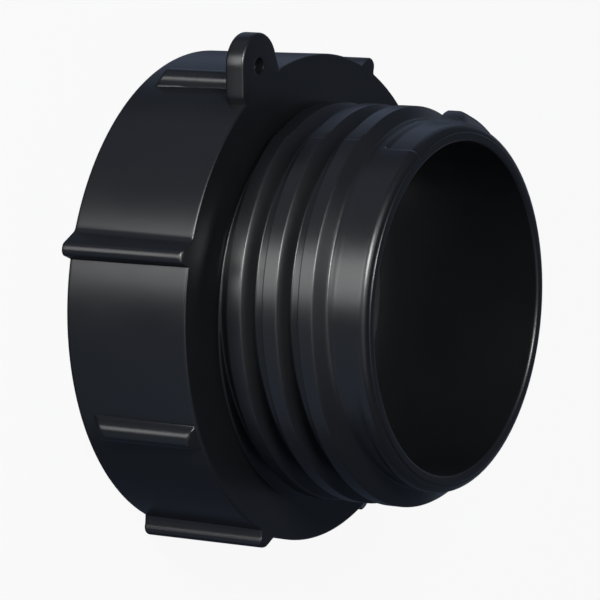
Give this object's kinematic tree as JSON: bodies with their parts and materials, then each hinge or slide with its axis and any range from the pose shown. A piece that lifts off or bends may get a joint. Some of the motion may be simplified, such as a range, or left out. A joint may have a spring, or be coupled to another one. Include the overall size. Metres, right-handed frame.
{
  "type": "ibc tap adapter",
  "caption": "Black moulded pipe adapter: a ribbed round collar with a female pipe thread and a wire lug, and a spigot with a coarse male thread and a wide through bore.",
  "frame": {"origin": "centre of the collar's open rim, on the axis of the bore", "axes": "+Z along the bore from the open rim to the spigot's nose; X-Z is the mould's parting plane, with the lug near +X; Y is the direction the mould opened"},
  "size_m": [0.0827, 0.0772, 0.0453],
  "materials": {
    "adapter_body": "black injection-moulded polypropylene, satin",
    "sealing_ring": "dull black moulded rubber"
  },
  "bodies": {
    "root": {"adapter_body": "adapter_body", "sealing_ring": "sealing_ring"}
  },
  "joints": []
}
